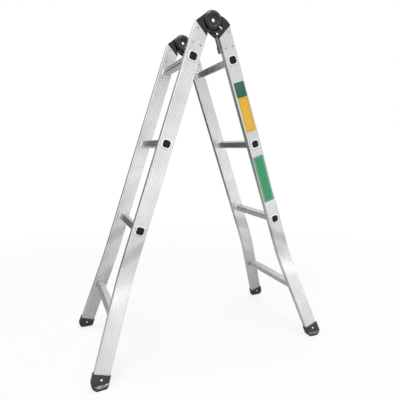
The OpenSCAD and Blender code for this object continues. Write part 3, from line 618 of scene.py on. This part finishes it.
# Locks: a plated steel bolt in each hinge, the pressed lever that draws it, and its coil spring.
# The bolt is rubbed as bright as the pins. The lever's steel is painted dark and a little olive, as
# painted shade.
LEVER_SHADED_GREY = (0.20, 0.21, 0.185)
LEVER_SHADED_PALE = (0.32, 0.33, 0.30)
bolt_finish = zinc_plate("bolt_steel", rough=0.18, grey_tone=PIN_GREY, pale_tone=PIN_PALE)
bolt_finish.on(*named("_bolt"))
lever_finish = zinc_plate("lever_steel", rough=0.30, grey_tone=LEVER_SHADED_GREY, pale_tone=LEVER_SHADED_PALE)
lever_finish.on(*named("_lock_lever"))
zinc_plate("spring_steel", rough=0.24).on(*named("_spring"))

# Labels: two printed film stickers on the outer face of the rear right stile, across its flutes.
# They are plain coloured fields with a border line. The film is glossy and a little faded.
STILE_FACE = 0.1575
FILM = 0.0003
FILM_CORNER = 0.003
FILM_STEPS = 5
FILM_SPECULAR = 0.3
FILM_ROUGH = 0.25
FADE_CLOUDS = 55.0
FADE_ROUGH = 0.2
LABEL_GREEN = (0.004, 0.125, 0.058)
LABEL_YELLOW = (0.95, 0.52, 0.025)
LABEL_LEAF = (0.014, 0.32, 0.135)
KEYLINE = (0.55, 0.60, 0.56)
LINE_WIDE = 0.0012
UPPER_LINE_SHARE = 0.85
LOWER_LINE_SHARE = 0.8
UPPER_FADE = 0.12
LOWER_FADE = 0.10
# Each label's drops below the hinge and distances out from it, and those of its border line.
UPPER_DROP = (0.211, 0.388)
UPPER_OUT = (0.0105, 0.0515)
UPPER_LINE = ((0.2685, 0.3840), (0.0135, 0.0490))
GREEN_END = 0.264
LOWER_DROP = (0.482, 0.661)
LOWER_OUT = (0.0080, 0.0510)
LOWER_LINE = ((0.4860, 0.6570), (0.0115, 0.0475))


def sticker(name, drop, out, field):
    """A thin rounded film between two drops down the stile and two distances out from the pivot."""
    bpy.ops.object.select_all(action="DESELECT")
    bpy.ops.mesh.primitive_plane_add(size=1)
    film = bpy.context.object
    film.name = name
    film.scale = (out[1] - out[0], drop[1] - drop[0], 1)
    bpy.ops.object.transform_apply(location=False, rotation=False, scale=True)
    bpy.ops.object.mode_set(mode="EDIT")
    thick_rounded(FILM_CORNER, FILM_STEPS, FILM)
    bpy.ops.object.mode_set(mode="OBJECT")
    outward = Vector((0, math.cos(LEAN), math.sin(LEAN)))
    down = Vector((0, math.sin(LEAN), -math.cos(LEAN)))
    centre = outward * sum(out) / 2 + down * sum(drop) / 2
    turn = Matrix((outward, -down, Vector((1, 0, 0)))).transposed().to_4x4()
    place = Matrix.Translation((STILE_FACE, centre.y, PIVOT_HEIGHT + centre.z))
    film.matrix_world = place @ turn
    bpy.ops.object.transform_apply(location=True, rotation=True, scale=True)
    finish = Finish(name + "_film", Specular_IOR_Level=FILM_SPECULAR)
    start = finish.start
    side = start.along(tuple(outward)) - PIVOT_OUT
    length = start.along(tuple(down)) + PIVOT_DROP
    fade = start.cloud(FADE_CLOUDS)
    finish.feed("Base Color", field(side, length, fade))
    finish.feed("Roughness", fade * FADE_ROUGH + FILM_ROUGH)
    finish.on(film)
    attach(film, "rear_frame")


def border(side, length, drop, out):
    """1 on a thin line just inside these drops and distances out."""
    inner = side.between(*out) * length.between(*drop)
    core = (side.between(out[0] + LINE_WIDE, out[1] - LINE_WIDE)
            * length.between(drop[0] + LINE_WIDE, drop[1] - LINE_WIDE))
    return inner - core


def upper_field(side, length, fade):
    """A green head above a yellow field with a green line."""
    plain = length.below(GREEN_END).mixed(LABEL_YELLOW, LABEL_GREEN)
    lined = (border(side, length, *UPPER_LINE) * UPPER_LINE_SHARE).mixed(plain, LABEL_GREEN)
    return (fade * UPPER_FADE).mixed(lined, KEYLINE)


def lower_field(side, length, fade):
    """A leaf green field with a pale line."""
    lined = (border(side, length, *LOWER_LINE) * LOWER_LINE_SHARE).mixed(LABEL_LEAF, KEYLINE)
    return (fade * LOWER_FADE).mixed(lined, KEYLINE)


sticker("upper_label", UPPER_DROP, UPPER_OUT, upper_field)
sticker("lower_label", LOWER_DROP, LOWER_OUT, lower_field)

# Floor and light: a plain white floor that keeps the ladder's shadow, a white surround and four
# soft lamps. A pale sheet, a grey ring and an olive patch on the floor, and a dark card on the
# left, give the bare metal something to reflect. The camera sees them only in the metal.
FLOOR_HALF = 30.0
FLOOR_WHITE = (0.85, 0.85, 0.85, 1)
FLOOR_SHEET = (0.85, 0.85, 0.85)
FLOOR_GREY = (0.53, 0.54, 0.51)
FLOOR_OLIVE = (0.085, 0.110, 0.045)
PURE_WHITE = (1, 1, 1, 1)
SHADOW_SHARE = 0.2
# Where each part of the floor starts and is complete, in metres.
SHEET_REACH = (1.75, 1.55)
SHEET_RIGHT = (0.10, 0.35)
OLIVE_LEFT = (-0.375, -1.625)
OLIVE_FRONT = (0.15, -0.35)
METAL_WHITE = (2.3, 3.55)
SHADOW_END = (0.875, 2.125)
bpy.ops.object.select_all(action="DESELECT")
bpy.ops.mesh.primitive_plane_add(size=2 * FLOOR_HALF)
floor = bpy.context.object
floor.name = "floor"


def ray_kinds(tree):
    """Light path masks: rays from the camera, and rays off metal or through glass."""
    path = tree.nodes.new("ShaderNodeLightPath")
    glossy = Val(tree, path.outputs["Is Glossy Ray"])
    through = Val(tree, path.outputs["Is Transmission Ray"])
    return Val(tree, path.outputs["Is Camera Ray"]), (glossy + through).clamp()


floor_material = bpy.data.materials.new("white_floor")
floor_material.use_nodes = True
tree = floor_material.node_tree
tree.nodes.remove(tree.nodes["Principled BSDF"])
start = Val(tree)
from_camera, from_metal = ray_kinds(tree)
span = start.node("ShaderNodeVectorMath", {"operation": "LENGTH"}, {0: start.place()}, out=1)
right = start.along(SIDEWAYS)
rearward = start.along((0.0, 1.0, 0.0))
on_sheet = span.rise(*SHEET_REACH) * right.rise(*SHEET_RIGHT)
olive = right.rise(*OLIVE_LEFT) * rearward.rise(*OLIVE_FRONT)
floor_colour = olive.mixed(on_sheet.mixed(FLOOR_GREY, FLOOR_SHEET), FLOOR_OLIVE)
coloured = start.node("ShaderNodeBsdfDiffuse", None, {"Color": floor_colour})
lit = start.node("ShaderNodeBsdfDiffuse", None, {"Color": FLOOR_WHITE})
white = start.node("ShaderNodeEmission", None, {"Color": PURE_WHITE, "Strength": 1.0})
metal_white = span.rise(*METAL_WHITE) * from_metal * (1 - olive)
reflected = start.node("ShaderNodeMixShader", None, {0: metal_white, 1: coloured, 2: white})
camera_white = span.rise(*SHADOW_END) * SHADOW_SHARE + (1 - SHADOW_SHARE)
seen = start.node("ShaderNodeMixShader", None, {0: camera_white, 1: lit, 2: white})
shown = start.node("ShaderNodeMixShader", None, {0: from_camera, 1: reflected, 2: seen})
tree.links.new(shown.socket, tree.nodes["Material Output"].inputs["Surface"])
floor.data.materials.append(floor_material)

SOFT_LIGHT = 0.65
world = bpy.data.worlds.new("white_surround")
scene.world = world
world.use_nodes = True
tree = world.node_tree
start = Val(tree)
from_camera, from_metal = ray_kinds(tree)
soft = start.node("ShaderNodeBackground", None, {"Color": PURE_WHITE, "Strength": SOFT_LIGHT})
white = start.node("ShaderNodeBackground", None, {"Color": PURE_WHITE, "Strength": 1.0})
white_share = (from_camera + from_metal).clamp()
shown = start.node("ShaderNodeMixShader", None, {0: white_share, 1: soft, 2: white})
tree.links.new(shown.socket, tree.nodes["World Output"].inputs["Surface"])

CARD_PLACE = (-2.0, -1.4, 1.05)
CARD_SIZE = (2.1, 2.2, 1.0)
CARD_DARK = (0.045, 0.052, 0.032, 1)
bpy.ops.object.select_all(action="DESELECT")
bpy.ops.mesh.primitive_plane_add(size=1)
card = bpy.context.object
card.name = "dark_card"
card.matrix_world = Matrix.Translation(CARD_PLACE) @ Matrix.Rotation(math.pi / 2, 4, "Y")
card.scale = CARD_SIZE
bpy.ops.object.transform_apply(location=True, rotation=True, scale=True)
card_finish = Finish("card_black", Base_Color=CARD_DARK)
card_finish.on(card)
card.visible_camera = False
card.visible_shadow = False

AIM = (0.0, 0.0, 0.6)
LOW_AIM = (0.0, 0.0, 0.25)


def soft_lamp(name, place, aim, size, power, height=None):
    """A round lamp, or a wide one where a height is given, that the camera doesn't see."""
    bpy.ops.object.light_add(type="AREA", location=place)
    lamp = bpy.context.object
    lamp.name = name
    lamp.data.shape = "RECTANGLE" if height else "DISK"
    lamp.data.size = size
    if height:
        lamp.data.size_y = height
    lamp.visible_camera = False
    lamp.data.energy = power
    lamp.rotation_euler = (Vector(aim) - Vector(place)).to_track_quat("-Z", "Y").to_euler()


soft_lamp("top_lamp", place=(0.2, -0.3, 3.3), aim=AIM, size=1.3, power=40)
soft_lamp("key_lamp", place=(2.4, -2.4, 2.6), aim=AIM, size=2.4, power=22)
soft_lamp("low_lamp", place=(2.9, 1.25, 0.28), aim=LOW_AIM, size=2.6, power=7.5, height=0.5)
soft_lamp("back_lamp", place=(-1.5, 2.8, 2.4), aim=AIM, size=2.4, power=14)
